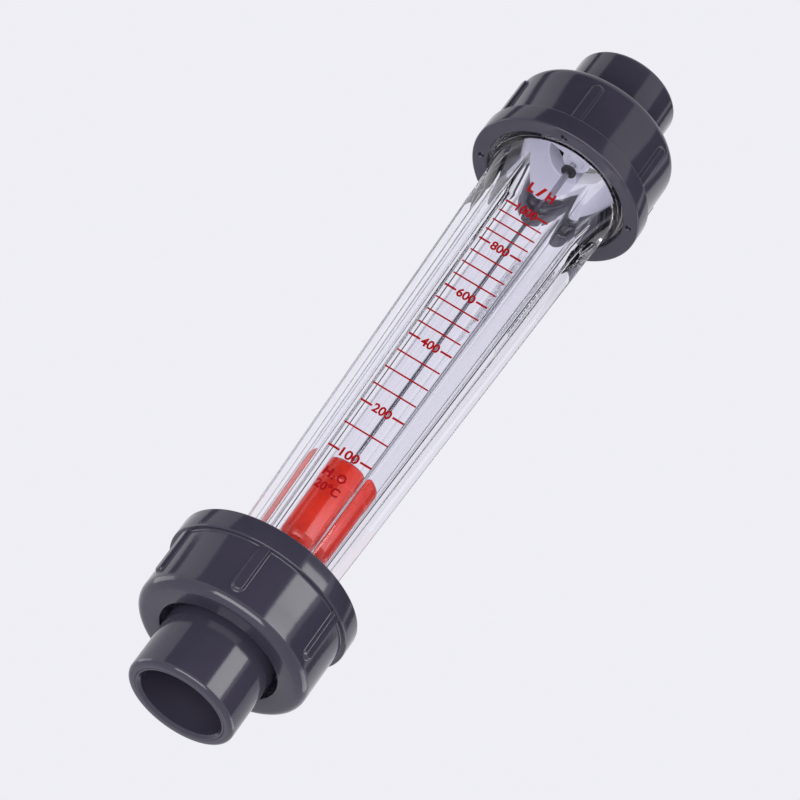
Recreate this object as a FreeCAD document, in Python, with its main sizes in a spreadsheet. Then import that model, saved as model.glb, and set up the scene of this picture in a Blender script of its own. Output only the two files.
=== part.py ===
"""A plastic tube rotameter: a float on a guide rod in a clear tapered tube, with a union at each end.

Millimetres. Z runs up the flow axis from the middle of the lower socket's mouth.
The facet that carries the scale faces -Y.
The upper end's pieces are the lower end's, turned over about Y.
"""
import FreeCAD, Part
import math
import os
import Sketcher

V = FreeCAD.Vector

# Driving sizes, in millimetres, degrees and counts
SIZES = {
    # Connectors, which hold a 20 mm pipe
    "total_length": 200.0,
    "socket_bore": 20.0,
    "socket_depth": 16.0,
    "socket_chamfer": 0.4,
    "spigot_wall": 3.05,
    "spigot_edge": 1.1,
    "throat_bore": 15.0,
    "flange_gap": 0.7,
    "flange_thick": 3.25,
    # Union nuts
    "nut_face": 15.3,
    "nut_wall": 3.4,
    "nut_height": 20.9,
    "nut_side_wall": 2.9,
    "nut_shoulder_round": 2.4,
    "nut_hole_gap": 0.4,
    "turn_gap": 0.05,
    "collar_step": 1.2,
    "collar_height": 5.2,
    "collar_edge": 0.35,
    "mouth_chamfer": 0.3,
    "rib_count": 6,
    "rib_width": 3.0,
    "rib_height": 0.75,
    "rib_clear": 3.6,
    "rib_root": 1.0,
    "rib_draft": 22.0,
    "dimple_count": 4,
    "dimple_bore": 1.6,
    "dimple_depth": 1.2,
    "dimple_inset": 2.5,
    "lower_nut_turn": -3.2,
    "upper_nut_turn": -6.5,
    # Face seals
    "seal_inset": 0.6,
    "seal_section": 2.4,
    "seal_squash": 0.5,
    "seal_side_gap": 0.1,
    # Clear tube
    "thread_outer": 35.6,
    "thread_gap": 0.3,
    "thread_length": 12.5,
    "corner_round": 1.2,
    "low_flare": 9.0,
    "low_flare_rise": 7.2,
    "low_flare_round": 14.0,
    "low_flare_sink": 0.15,
    "high_flare": 17.0,
    "high_flare_rise": 3.6,
    "high_flare_round": 90.0,
    "high_flare_sink": 0.6,
    "bore_low": 13.9,
    "bore_high": 18.2,
    "low_bell": 7.5,
    "high_bell": 16.6,
    "high_bell_round": 90.0,
    "pocket_wall": 4.4,
    "pocket_depth": 11.4,
    # Rod holders
    "holder_gap": 0.05,
    "holder_wall": 1.2,
    "holder_floor": 4.0,
    "bowl_margin": 0.8,
    "hub_outer": 4.6,
    "hub_tip": 3.9,
    "hub_rise": 1.1,
    "hub_gap": 0.05,
    "window_inner": 7.0,
    "window_outer": 14.8,
    "window_sweep": 86.0,
    "window_count": 3,
    "window_turn": 30.0,
    # Guide rod, its clips and its stops
    "rod_outer": 1.6,
    "rod_groove": 0.2,
    "rod_tail": 1.0,
    "clip_outer": 3.8,
    "clip_thick": 0.5,
    "clip_mouth": 1.1,
    "clip_gap": 0.02,
    "stop_outer": 3.8,
    "stop_bore_gap": 0.02,
    "upper_stop_length": 0.6,
    "upper_stop_gap": 2.1,
    # Float
    "float_bottom": 43.0,
    "float_length": 24.5,
    "float_rest_gap": 0.05,
    "float_head_gap": 0.3,
    "float_head_height": 5.2,
    "float_body_gap": 0.3,
    "float_step": 0.6,
    "float_round": 1.3,
    "float_bore_gap": 0.25,
    "float_core_wall": 0.9,
    "float_shell_wall": 1.3,
    "float_top_wall": 3.0,
    "weight_gap": 0.05,
    "weight_end_gap": 2.3,
    "plug_depth": 2.0,
    "plug_nose": 3.2,
    "plug_tip": 7.6,
    "plug_round": 5.0,
    # Label on a rear facet
    "label_clear": 1.5,
    "label_length": 29.0,
    "label_width": 10.0,
    "label_thick": 0.12,
    "label_bearing": 120.0,
}

doc = FreeCAD.newDocument("Rotameter")
sheet = doc.addObject("Spreadsheet::Sheet", "Sizes")
for row, (alias, amount) in enumerate(SIZES.items(), start=1):
    sheet.set(f"A{row}", alias)
    sheet.set(f"B{row}", str(amount))
    sheet.setAlias(f"B{row}", alias)
doc.recompute()


class Length:
    """A sum of the sheet's sizes, which knows its number and the expression that gives it."""

    def __init__(self, terms, constant=0.0):
        self.terms = terms
        self.constant = constant

    def __add__(self, other):
        if not isinstance(other, Length):
            return Length(self.terms, self.constant + other)
        terms = dict(self.terms)
        for alias, factor in other.terms.items():
            terms[alias] = terms.get(alias, 0.0) + factor
        return Length(terms, self.constant + other.constant)

    def __mul__(self, factor):
        return Length({alias: k * factor for alias, k in self.terms.items()}, self.constant * factor)

    def __sub__(self, other):
        return self + other * -1.0

    def value(self):
        return self.constant + sum(k * SIZES[alias] for alias, k in self.terms.items())

    def text(self):
        parts = [f"({k}) * Sizes.{alias}" for alias, k in self.terms.items() if k]
        return " + ".join(parts + [f"({self.constant})"])


def size(alias):
    return Length({alias: 1.0})


def half(alias):
    return size(alias) * 0.5


NOUGHT = Length({})

# Stations up the axis from the mouth of either end
nut_inside = size("nut_face") + size("nut_wall")
flange_back = nut_inside + size("turn_gap")
tube_end = flange_back + size("flange_thick")
nut_mouth = size("nut_face") + size("nut_height")
collar_start = nut_mouth - size("collar_height")
thread_end = tube_end + size("thread_length")
hub_top = tube_end + size("holder_floor") + size("hub_rise")
pocket_end = tube_end + size("pocket_depth")

# Stations of the whole meter, from the lower mouth
top = size("total_length")
upper_tube_end = top - tube_end
upper_thread_end = top - thread_end
upper_pocket_end = top - pocket_end
upper_hub_top = top - hub_top
float_top = size("float_bottom") + size("float_length")

# Radii and distances from the axis that one piece takes from another
thread_radius = half("thread_outer")
low_facet = thread_radius - size("low_flare_rise")
high_facet = thread_radius - size("high_flare_rise")
pocket_radius = thread_radius - size("pocket_wall")
cup_radius = pocket_radius - size("holder_gap") - size("holder_wall")
socket_radius = half("socket_bore")
spigot_radius = socket_radius + size("spigot_wall")
nut_bore_radius = thread_radius + size("thread_gap")
flange_radius = nut_bore_radius - size("flange_gap")
barrel_radius = nut_bore_radius + size("nut_side_wall")
collar_radius = barrel_radius + size("collar_step")
seal_radius = pocket_radius + size("seal_inset") + half("seal_section")
seal_depth = size("seal_section") - size("seal_squash")
rod_radius = half("rod_outer")
groove_radius = rod_radius - size("rod_groove")
bore_low_radius = half("bore_low")
bore_high_radius = half("bore_high")
bore_start = pocket_end + size("low_bell")
bore_end = upper_pocket_end - size("high_bell")


def between(low, high, start, end, station):
    """The length that runs evenly from low at start to high at end, at a station between them."""
    share = (station - start).value() / (end - start).value()
    return low + (high - low) * share


# The float's radii follow the tube's bore at its rest
float_shoulder = size("float_bottom") + size("plug_nose")
float_head_start = float_top - size("float_head_height")
float_ceiling = float_top - size("float_top_wall")
plug_top = float_shoulder + size("plug_depth")
bore_at_shoulder = between(bore_low_radius, bore_high_radius, bore_start, bore_end, float_shoulder)
bore_at_head = between(bore_low_radius, bore_high_radius, bore_start, bore_end, float_head_start)
float_radius = bore_at_shoulder - size("float_body_gap")
head_radius = bore_at_head - size("float_head_gap")
float_bore_radius = rod_radius + size("float_bore_gap")
core_radius = float_bore_radius + size("float_core_wall")
cavity_radius = float_radius - size("float_shell_wall")


def bind(thing, name, length):
    """Ties a property to the sheet."""
    thing.setExpression(name, length.text())


def origin_part(body, role):
    return next(part for part in body.Origin.OriginFeatures if part.Role == role)


def new_body(name):
    body = doc.addObject("PartDesign::Body", name)
    body.Label = name
    return body


def new_sketch(body, name, role):
    sketch = body.newObject("Sketcher::SketchObject", name)
    sketch.AttachmentSupport = [(origin_part(body, role), "")]
    sketch.MapMode = "FlatFace"
    return sketch


def hold_point(sketch, geometry, end, across, up):
    """Fixes one end of a line or arc at two sizes from the sketch's origin."""
    for kind, length, axis in (("DistanceX", across, -2), ("DistanceY", up, -1)):
        if abs(length.value()) < 1e-9:
            sketch.addConstraint(Sketcher.Constraint("PointOnObject", geometry, end, axis))
            continue
        index = sketch.addConstraint(Sketcher.Constraint(kind, -1, 1, geometry, end, length.value()))
        sketch.setExpression(f"Constraints[{index}]", length.text())


def arc_between(start, end, radius, side):
    """The arc of that radius from start to end, and its end numbers.

    It bulges to the right of the way for side 1, and to the left for side -1.
    """
    middle = (start + end) * 0.5
    way = end - start
    reach = math.sqrt(radius**2 - (way.Length / 2) ** 2)
    right = V(way.y, -way.x, 0).normalize()
    centre = middle - right * reach * side
    angles = [math.atan2(point.y - centre.y, point.x - centre.x) for point in (start, end)]
    if side > 0:
        return Part.ArcOfCircle(Part.Circle(centre, V(0, 0, 1), radius), *angles), (1, 2)
    return Part.ArcOfCircle(Part.Circle(centre, V(0, 0, 1), radius), *reversed(angles)), (2, 1)


def outline(body, name, corners):
    """A closed outline on the XZ plane.

    A corner is (radius, station), or (radius, station, arc radius, side) where an arc leads to it.
    """
    sketch = new_sketch(body, name, "XZ_Plane")
    ends = []
    for index, corner in enumerate(corners):
        before = corners[index - 1]
        start = V(before[0].value(), before[1].value(), 0)
        end = V(corner[0].value(), corner[1].value(), 0)
        if len(corner) == 2:
            geometry = sketch.addGeometry(Part.LineSegment(start, end), False)
            first, last = 1, 2
        else:
            arc, (first, last) = arc_between(start, end, corner[2].value(), corner[3])
            geometry = sketch.addGeometry(arc, False)
            radius = sketch.addConstraint(Sketcher.Constraint("Radius", geometry, corner[2].value()))
            sketch.setExpression(f"Constraints[{radius}]", corner[2].text())
        hold_point(sketch, geometry, last, corner[0], corner[1])
        ends.append((geometry, first, last))
    for index, (geometry, first, _) in enumerate(ends):
        previous, _, last = ends[index - 1]
        sketch.addConstraint(Sketcher.Constraint("Coincident", previous, last, geometry, first))
    return sketch


def turned(body, name, corners, kind="PartDesign::Revolution"):
    """Turns an outline about the body's Z axis, as material or as a cut."""
    sketch = outline(body, name + "Outline", corners)
    feature = body.newObject(kind, name)
    feature.Profile = sketch
    feature.ReferenceAxis = (sketch, ["V_Axis"])
    feature.Angle = 360.0
    sketch.Visibility = False
    doc.recompute()
    return feature


def ring_edges(feature, rings):
    """The names of the circular edges of those radii at those stations."""
    found = []
    for number, edge in enumerate(feature.Shape.Edges, start=1):
        if not isinstance(edge.Curve, Part.Circle):
            continue
        centre = edge.Curve.Center
        for radius, station in rings:
            near = abs(edge.Curve.Radius - radius.value()) < 1e-4 and abs(centre.z - station.value()) < 1e-4
            if near and math.hypot(centre.x, centre.y) < 1e-4:
                found.append(f"Edge{number}")
    return found


def dressed(body, feature, name, kind, edges, amount):
    """A fillet or chamfer of one size on named edges."""
    dress = body.newObject(kind, name)
    dress.Base = (feature, edges)
    bind(dress, "Radius" if kind.endswith("Fillet") else "Size", amount)
    doc.recompute()
    return dress


def polar(body, name, feature, count_alias):
    pattern = body.newObject("PartDesign::PolarPattern", name)
    pattern.Originals = [feature]
    pattern.Axis = (origin_part(body, "Z_Axis"), [""])
    pattern.Angle = 360.0
    pattern.setExpression("Occurrences", f"Sizes.{count_alias}")
    body.Tip = pattern
    doc.recompute()
    return pattern


def put(piece, upper, turn=0.0):
    """Turns a lower end's piece over for the upper end, if asked, and then turns it about the axis."""
    rotation = FreeCAD.Rotation(V(0, 0, 1), turn)
    if upper:
        rotation = rotation.multiply(FreeCAD.Rotation(V(0, 1, 0), 180))
    piece.Placement = FreeCAD.Placement(V(0, 0, 0), rotation)
    if upper:
        bind(piece, "Placement.Base.z", top)
    return piece


def connector(label, upper):
    """The socket end: a spigot with a socket, a throat, and a flange with the seal's groove."""
    body = new_body(label)
    shape = turned(body, label + "Turned", [
        (socket_radius, NOUGHT),
        (spigot_radius, NOUGHT),
        (spigot_radius, flange_back),
        (flange_radius, flange_back),
        (flange_radius, tube_end),
        (half("throat_bore"), tube_end),
        (half("throat_bore"), size("socket_depth")),
        (socket_radius, size("socket_depth")),
    ])
    groove = half("seal_section") + size("seal_side_gap")
    shape = turned(body, label + "Groove", [
        (seal_radius - groove, tube_end - seal_depth),
        (seal_radius + groove, tube_end - seal_depth),
        (seal_radius + groove, tube_end),
        (seal_radius - groove, tube_end),
    ], "PartDesign::Groove")
    shape = dressed(body, shape, label + "Edge", "PartDesign::Fillet",
                    ring_edges(shape, [(spigot_radius, NOUGHT)]), size("spigot_edge"))
    dressed(body, shape, label + "Mouth", "PartDesign::Chamfer",
            ring_edges(shape, [(socket_radius, NOUGHT)]), size("socket_chamfer"))
    return put(body, upper)


def rib(body, label):
    """One gripping rib: a strip with a round outer end and drafted sides, standing on the nut's barrel."""
    sketch = new_sketch(body, label + "RibOutline", "XZ_Plane")
    bind(sketch, "AttachmentOffset.Base.z", barrel_radius - size("rib_root"))
    wide = half("rib_width")
    low = size("nut_face") + size("rib_clear") + wide
    high = collar_start + size("rib_root")
    left = V(-wide.value(), low.value(), 0)
    right = V(wide.value(), low.value(), 0)
    rise = V(0, (high - low).value(), 0)
    sketch.addGeometry(Part.LineSegment(left + rise, left), False)
    sketch.addGeometry(Part.ArcOfCircle(Part.Circle(V(0, low.value(), 0), V(0, 0, 1), wide.value()),
                                        math.pi, 2 * math.pi), False)
    sketch.addGeometry(Part.LineSegment(right, right + rise), False)
    sketch.addGeometry(Part.LineSegment(right + rise, left + rise), False)
    for geometry in range(4):
        following = (geometry + 1) % 4
        sketch.addConstraint(Sketcher.Constraint("Coincident", geometry, 2, following, 1))
    for geometry in (0, 2):
        sketch.addConstraint(Sketcher.Constraint("Vertical", geometry))
    sketch.addConstraint(Sketcher.Constraint("Horizontal", 3))
    sketch.addConstraint(Sketcher.Constraint("PointOnObject", 1, 3, -2))
    for constraint, length in (
        (Sketcher.Constraint("Radius", 1, wide.value()), wide),
        (Sketcher.Constraint("DistanceY", -1, 1, 1, 3, low.value()), low),
        (Sketcher.Constraint("DistanceY", -1, 1, 2, 2, high.value()), high),
        (Sketcher.Constraint("DistanceY", -1, 1, 0, 2, low.value()), low),
    ):
        index = sketch.addConstraint(constraint)
        sketch.setExpression(f"Constraints[{index}]", length.text())
    pad = body.newObject("PartDesign::Pad", label + "Rib")
    pad.Profile = sketch
    bind(pad, "Length", size("rib_root") + size("rib_height"))
    pad.setExpression("TaperAngle", "-Sizes.rib_draft")
    doc.recompute()
    return pad


def dimple(body, label):
    """One small blind hole in the collar's face."""
    sketch = new_sketch(body, label + "DimpleOutline", "XY_Plane")
    bind(sketch, "AttachmentOffset.Base.z", nut_mouth)
    middle = collar_radius - size("dimple_inset")
    radius = half("dimple_bore")
    sketch.addGeometry(Part.Circle(V(0, -middle.value(), 0), V(0, 0, 1), radius.value()), False)
    sketch.addConstraint(Sketcher.Constraint("PointOnObject", 0, 3, -2))
    for constraint, length in (
        (Sketcher.Constraint("Radius", 0, radius.value()), radius),
        (Sketcher.Constraint("DistanceY", 0, 3, -1, 1, middle.value()), middle),
    ):
        index = sketch.addConstraint(constraint)
        sketch.setExpression(f"Constraints[{index}]", length.text())
    pocket = body.newObject("PartDesign::Pocket", label + "Dimple")
    pocket.Profile = sketch
    bind(pocket, "Length", size("dimple_depth"))
    doc.recompute()
    return pocket


def nut(label, upper, turn_alias):
    """A union nut: a ribbed barrel with a round shoulder, a collar at its mouth and an inner shoulder."""
    body = new_body(label)
    hole = spigot_radius + size("nut_hole_gap")
    shape = turned(body, label + "Turned", [
        (hole, size("nut_face")),
        (barrel_radius, size("nut_face")),
        (barrel_radius, collar_start),
        (collar_radius, collar_start),
        (collar_radius, nut_mouth),
        (nut_bore_radius, nut_mouth),
        (nut_bore_radius, nut_inside),
        (hole, nut_inside),
    ])
    shape = dressed(body, shape, label + "Shoulder", "PartDesign::Fillet",
                    ring_edges(shape, [(barrel_radius, size("nut_face"))]), size("nut_shoulder_round"))
    rings = [(collar_radius, collar_start), (collar_radius, nut_mouth), (barrel_radius, collar_start)]
    shape = dressed(body, shape, label + "CollarEdges", "PartDesign::Fillet",
                    ring_edges(shape, rings), size("collar_edge"))
    dressed(body, shape, label + "Mouth", "PartDesign::Chamfer",
            ring_edges(shape, [(nut_bore_radius, nut_mouth)]), size("mouth_chamfer"))
    polar(body, label + "Ribs", rib(body, label), "rib_count")
    polar(body, label + "Dimples", dimple(body, label), "dimple_count")
    return put(body, upper, SIZES[turn_alias])


def seal(label, upper):
    """An O-ring as it lies squashed between the groove's floor and the tube's end face."""
    ring = doc.addObject("Part::Torus", label + "Ring")
    bind(ring, "Radius1", seal_radius)
    bind(ring, "Radius2", half("seal_section"))
    bind(ring, "Placement.Base.z", tube_end - seal_depth * 0.5)
    slab = doc.addObject("Part::Cylinder", label + "Slab")
    bind(slab, "Radius", seal_radius + size("seal_section"))
    bind(slab, "Height", seal_depth)
    bind(slab, "Placement.Base.z", tube_end - seal_depth)
    squashed = doc.addObject("Part::MultiCommon", label)
    squashed.Label = label
    squashed.Shapes = [ring, slab]
    return put(squashed, upper)


def hexagon(body, name, station, facet):
    """A hexagon with round corners about the axis at a station, with a side facing -Y."""
    sketch = new_sketch(body, name, "XY_Plane")
    bind(sketch, "AttachmentOffset.Base.z", station)
    round_radius = SIZES["corner_round"]
    reach = (facet - size("corner_round")) * (1 / math.cos(math.pi / 6))
    inner = facet.value() - round_radius
    guide = sketch.addGeometry(Part.Circle(V(0, 0, 0), V(0, 0, 1), reach.value()), True)
    sketch.addConstraint(Sketcher.Constraint("Coincident", guide, 3, -1, 1))
    index = sketch.addConstraint(Sketcher.Constraint("Radius", guide, reach.value()))
    sketch.setExpression(f"Constraints[{index}]", reach.text())
    sides, corners = [], []
    for number in range(6):
        facing = math.radians(60 * number - 90)
        out = V(math.cos(facing), math.sin(facing), 0)
        along = V(-out.y, out.x, 0)
        middle = out * (inner + round_radius)
        shift = along * (inner * math.tan(math.pi / 6))
        sides.append(sketch.addGeometry(Part.LineSegment(middle - shift, middle + shift), False))
        centre = out * inner + shift
        circle = Part.Circle(centre, V(0, 0, 1), round_radius)
        corners.append(sketch.addGeometry(Part.ArcOfCircle(circle, facing, facing + math.pi / 3), False))
    for number in range(6):
        following = sides[(number + 1) % 6]
        sketch.addConstraint(Sketcher.Constraint("Tangent", sides[number], 2, corners[number], 1))
        sketch.addConstraint(Sketcher.Constraint("Tangent", corners[number], 2, following, 1))
        sketch.addConstraint(Sketcher.Constraint("PointOnObject", corners[number], 3, guide))
    for number in range(1, 6):
        sketch.addConstraint(Sketcher.Constraint("Equal", sides[0], sides[number]))
        sketch.addConstraint(Sketcher.Constraint("Equal", corners[0], corners[number]))
    index = sketch.addConstraint(Sketcher.Constraint("Radius", corners[0], round_radius))
    sketch.setExpression(f"Constraints[{index}]", "Sizes.corner_round")
    sketch.addConstraint(Sketcher.Constraint("Horizontal", sides[0]))
    return sketch


def metering_tube():
    """The clear tube: a tapered prism with round corners, flared into a round threaded end at each end."""
    body = new_body("tube")
    low = hexagon(body, "PrismLow", thread_end, low_facet)
    high = hexagon(body, "PrismHigh", upper_thread_end, high_facet)
    prism = body.newObject("PartDesign::AdditiveLoft", "Prism")
    prism.Profile = low
    prism.Sections = [high]
    prism.Ruled = True
    doc.recompute()
    low_root = low_facet - size("low_flare_sink")
    high_root = high_facet - size("high_flare_sink")
    turned(body, "LowerEnd", [
        (NOUGHT, tube_end),
        (thread_radius, tube_end),
        (thread_radius, thread_end),
        (low_root, thread_end + size("low_flare"), size("low_flare_round"), -1),
        (NOUGHT, thread_end + size("low_flare")),
    ])
    turned(body, "UpperEnd", [
        (NOUGHT, upper_thread_end - size("high_flare")),
        (high_root, upper_thread_end - size("high_flare")),
        (thread_radius, upper_thread_end, size("high_flare_round"), -1),
        (thread_radius, upper_tube_end),
        (NOUGHT, upper_tube_end),
    ])
    turned(body, "Bore", [
        (NOUGHT, tube_end),
        (pocket_radius, tube_end),
        (pocket_radius, pocket_end),
        (cup_radius, pocket_end),
        (bore_low_radius, bore_start),
        (bore_high_radius, bore_end),
        (cup_radius, upper_pocket_end, size("high_bell_round"), -1),
        (pocket_radius, upper_pocket_end),
        (pocket_radius, upper_tube_end),
        (NOUGHT, upper_tube_end),
    ], "PartDesign::Groove")
    return body


def holder(label, upper):
    """The bowl in the tube's end: a wall, a floor with flow windows, and a hub that carries the rod."""
    body = new_body(label)
    outside = pocket_radius - size("holder_gap")
    hole = rod_radius + size("hub_gap")
    floor = tube_end + size("holder_floor")
    turned(body, label + "Turned", [
        (hole, tube_end),
        (outside, tube_end),
        (outside, pocket_end),
        (cup_radius, pocket_end),
        (half("window_outer") + size("bowl_margin"), floor),
        (half("hub_outer"), floor),
        (half("hub_tip"), hub_top),
        (hole, hub_top),
    ])
    sketch = new_sketch(body, label + "WindowOutline", "XY_Plane")
    bind(sketch, "AttachmentOffset.Base.z", tube_end)
    radii = (half("window_inner"), half("window_outer"))
    reach = math.radians(SIZES["window_sweep"] / 2)
    for radius in radii:
        circle = Part.Circle(V(0, 0, 0), V(0, 0, 1), radius.value())
        sketch.addGeometry(Part.ArcOfCircle(circle, -reach, reach), False)
    for bearing in (-reach, reach):
        ends = [V(math.cos(bearing), math.sin(bearing), 0) * radius.value() for radius in radii]
        sketch.addGeometry(Part.LineSegment(*ends), False)
    for arc, radius in enumerate(radii):
        sketch.addConstraint(Sketcher.Constraint("Coincident", arc, 3, -1, 1))
        index = sketch.addConstraint(Sketcher.Constraint("Radius", arc, radius.value()))
        sketch.setExpression(f"Constraints[{index}]", radius.text())
    for line, end in ((2, 1), (3, 2)):
        sketch.addConstraint(Sketcher.Constraint("Coincident", 0, end, line, 1))
        sketch.addConstraint(Sketcher.Constraint("Coincident", 1, end, line, 2))
    sketch.addConstraint(Sketcher.Constraint("Symmetric", 1, 1, 1, 2, -1))
    sketch.addConstraint(Sketcher.Constraint("Symmetric", 0, 1, 0, 2, -1))
    index = sketch.addConstraint(Sketcher.Constraint("Angle", 2, 1, 3, 1, 2 * reach))
    sketch.setExpression(f"Constraints[{index}]", "Sizes.window_sweep")
    window = body.newObject("PartDesign::Pocket", label + "Window")
    window.Profile = sketch
    window.Reversed = True
    bind(window, "Length", size("holder_floor"))
    doc.recompute()
    polar(body, label + "Windows", window, "window_count")
    return put(body, upper, -SIZES["window_turn"] if upper else SIZES["window_turn"])


def guide_rod():
    """The steel rod, with a groove near each end for its clip."""
    body = new_body("guide_rod")
    first = tube_end - size("clip_thick")
    last = upper_tube_end + size("clip_thick")
    turned(body, "Rod", [
        (NOUGHT, first - size("rod_tail")),
        (rod_radius, first - size("rod_tail")),
        (rod_radius, first),
        (groove_radius, first),
        (groove_radius, tube_end),
        (rod_radius, tube_end),
        (rod_radius, upper_tube_end),
        (groove_radius, upper_tube_end),
        (groove_radius, last),
        (rod_radius, last),
        (rod_radius, last + size("rod_tail")),
        (NOUGHT, last + size("rod_tail")),
    ])
    return body


def drum(name, radius, start, height):
    cylinder = doc.addObject("Part::Cylinder", name)
    bind(cylinder, "Radius", radius)
    bind(cylinder, "Height", height)
    bind(cylinder, "Placement.Base.z", start)
    return cylinder


def sleeve(label, outer, inner, start, height):
    """A plain round sleeve on the axis."""
    piece = doc.addObject("Part::Cut", label)
    piece.Label = label
    piece.Base = drum(label + "Outside", outer, start, height)
    piece.Tool = drum(label + "Hole", inner, start, height)
    return piece


def clip(label, upper):
    """A spring clip snapped into the rod's groove from one side."""
    start = tube_end - size("clip_thick")
    ring = sleeve(label + "Ring", half("clip_outer"), groove_radius + size("clip_gap"),
                  start, size("clip_thick"))
    mouth = doc.addObject("Part::Box", label + "Mouth")
    bind(mouth, "Length", size("clip_mouth"))
    bind(mouth, "Width", size("clip_outer"))
    bind(mouth, "Height", size("clip_thick"))
    bind(mouth, "Placement.Base.x", half("clip_mouth") * -1.0)
    bind(mouth, "Placement.Base.z", start)
    piece = doc.addObject("Part::Cut", label)
    piece.Label = label
    piece.Base = ring
    piece.Tool = mouth
    return put(piece, upper)


def float_shell():
    """The float's red shell: a barrel with a wider head, a bored core and a cavity open below."""
    body = new_body("float_shell")
    shape = turned(body, "Shell", [
        (cavity_radius, float_shoulder),
        (float_radius, float_shoulder),
        (float_radius, float_head_start - size("float_step")),
        (head_radius, float_head_start),
        (head_radius, float_top),
        (float_bore_radius, float_top),
        (float_bore_radius, float_shoulder),
        (core_radius, float_shoulder),
        (core_radius, float_ceiling),
        (cavity_radius, float_ceiling),
    ])
    dressed(body, shape, "ShellTop", "PartDesign::Fillet",
            ring_edges(shape, [(head_radius, float_top)]), size("float_round"))
    return body


def float_weight():
    """The steel weight that lies against the cavity's ceiling."""
    foot = plug_top + size("weight_end_gap")
    return sleeve("float_weight", cavity_radius - size("weight_gap"), core_radius + size("weight_gap"),
                  foot, float_ceiling - foot)


def float_plug():
    """The red plug that closes the cavity and forms the float's round nose."""
    body = new_body("float_plug")
    start = size("float_bottom")
    turned(body, "Plug", [
        (float_bore_radius, start),
        (half("plug_tip"), start),
        (float_radius, float_shoulder, size("plug_round"), 1),
        (cavity_radius - size("weight_gap"), float_shoulder),
        (cavity_radius - size("weight_gap"), plug_top),
        (core_radius + size("weight_gap"), plug_top),
        (core_radius + size("weight_gap"), float_shoulder),
        (float_bore_radius, float_shoulder),
    ])
    return body


def back_label():
    """The clear film label, flat on the facet at its bearing from -Y."""
    film = doc.addObject("Part::Box", "back_label")
    film.Label = "back_label"
    bind(film, "Length", size("label_width"))
    bind(film, "Width", size("label_thick"))
    bind(film, "Height", size("label_length"))
    head = upper_thread_end - size("high_flare") - size("label_clear")
    foot = head - size("label_length")
    facet = between(low_facet, high_facet, thread_end, upper_thread_end, foot)
    slope = (high_facet - low_facet).value() / (upper_thread_end - thread_end).value()
    lean = FreeCAD.Rotation(V(1, 0, 0), math.degrees(math.atan(slope)))
    rotation = FreeCAD.Rotation(V(0, 0, 1), SIZES["label_bearing"]).multiply(lean)
    outward = FreeCAD.Rotation(V(0, 0, 1), SIZES["label_bearing"]).multVec(V(0, -1, 0))
    seat = outward * facet.value() + V(0, 0, foot.value())
    back = rotation.multVec(V(-SIZES["label_width"] / 2, -SIZES["label_thick"], 0))
    film.Placement = FreeCAD.Placement(seat + back, rotation)
    return film


pieces = [metering_tube()]
for end, is_upper in (("lower", False), ("upper", True)):
    pieces.append(nut(end + "_nut", is_upper, end + "_nut_turn"))
    pieces.append(connector(end + "_connector", is_upper))
    pieces.append(seal(end + "_o_ring", is_upper))
    pieces.append(holder(end + "_holder", is_upper))
    pieces.append(clip(end + "_clip", is_upper))
pieces.append(guide_rod())
stop_bore = rod_radius + size("stop_bore_gap")
pieces.append(sleeve("lower_stop", half("stop_outer"), stop_bore, hub_top,
                     size("float_bottom") - size("float_rest_gap") - hub_top))
upper_stop_length = size("upper_stop_length")
pieces.append(sleeve("upper_stop", half("stop_outer"), stop_bore,
                     upper_hub_top - size("upper_stop_gap") - upper_stop_length, upper_stop_length))
pieces.append(float_shell())
pieces.append(float_weight())
pieces.append(float_plug())
pieces.append(back_label())

doc.recompute()
for thing in doc.Objects:
    if "Invalid" in thing.State or "Error" in thing.State:
        raise RuntimeError(f"{thing.Name} failed: {thing.State}")
os.makedirs("parts", exist_ok=True)
for piece in pieces:
    if piece.Shape.isNull() or not piece.Shape.isValid():
        raise RuntimeError(f"{piece.Label} is not a valid solid")
    piece.Shape.exportStep(f"parts/{piece.Label}.step")
    print(f"{piece.Label}: {len(piece.Shape.Solids)} solid, {piece.Shape.Volume:.1f} mm3")
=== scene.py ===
"""Dresses a plastic tube rotameter.

It has a clear tapered tube between two grey unions, and a red float on a steel rod inside.
Metres, in the frame's own axes: Z runs up the flow axis and the scale's facet faces -Y.
"""
import math
import random

import bmesh
import bpy
from mathutils import Matrix, Vector


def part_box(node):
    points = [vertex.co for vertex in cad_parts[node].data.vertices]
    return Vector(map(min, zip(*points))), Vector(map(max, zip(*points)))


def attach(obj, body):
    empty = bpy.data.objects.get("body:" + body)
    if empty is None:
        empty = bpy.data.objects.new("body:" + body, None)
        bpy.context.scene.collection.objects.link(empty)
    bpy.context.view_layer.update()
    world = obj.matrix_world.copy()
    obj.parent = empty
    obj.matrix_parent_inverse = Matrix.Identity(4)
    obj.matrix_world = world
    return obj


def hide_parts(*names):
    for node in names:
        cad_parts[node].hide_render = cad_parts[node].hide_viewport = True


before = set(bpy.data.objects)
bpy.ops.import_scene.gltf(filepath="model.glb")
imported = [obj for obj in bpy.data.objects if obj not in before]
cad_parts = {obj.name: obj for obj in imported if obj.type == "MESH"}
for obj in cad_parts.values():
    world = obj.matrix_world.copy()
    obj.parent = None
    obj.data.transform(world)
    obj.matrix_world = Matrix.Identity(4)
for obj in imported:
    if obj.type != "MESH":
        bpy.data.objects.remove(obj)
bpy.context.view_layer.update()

MM = 0.001
TURN = 2 * math.pi

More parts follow.
